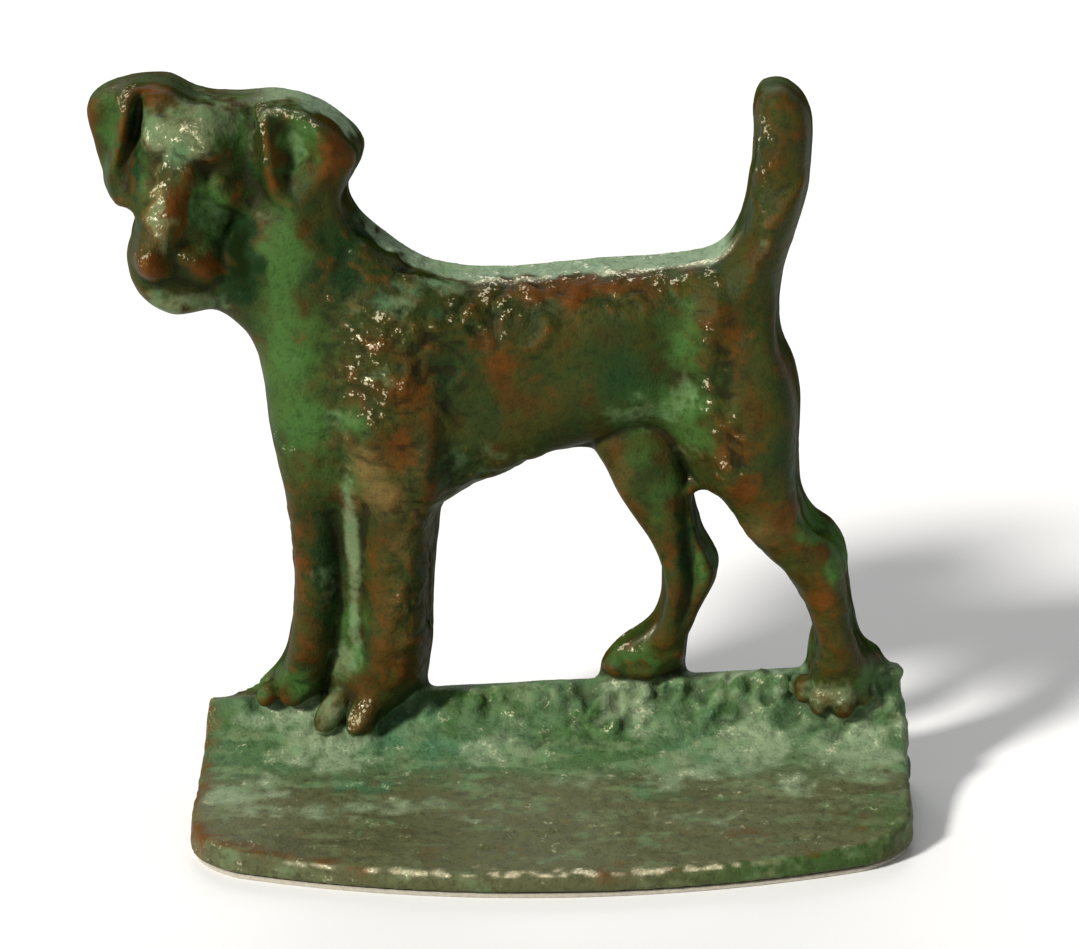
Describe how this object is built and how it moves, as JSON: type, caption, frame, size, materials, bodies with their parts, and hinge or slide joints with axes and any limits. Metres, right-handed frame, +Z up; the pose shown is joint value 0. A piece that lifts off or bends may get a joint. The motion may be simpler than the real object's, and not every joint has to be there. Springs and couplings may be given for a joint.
{
  "type": "paperweight",
  "caption": "Cast terrier standing on a D-shaped patch of ground, flat open back, thin pad underneath; a small bookend that weighs down paper.",
  "frame": {"origin": "on the pad's underside, the face the object rests on, midway along its width and 23 mm in front of the flat back", "axes": "+X from the head towards the tail, +Y out of the flat back, +Z up"},
  "size_m": [0.1267, 0.048, 0.1198],
  "materials": {
    "bronze": "cast bronze with a green and brown patina, satin wax coat",
    "felt": "pale pressed felt"
  },
  "bodies": {
    "root": {"terrier_casting": "bronze", "felt_pad": "felt"}
  },
  "joints": []
}
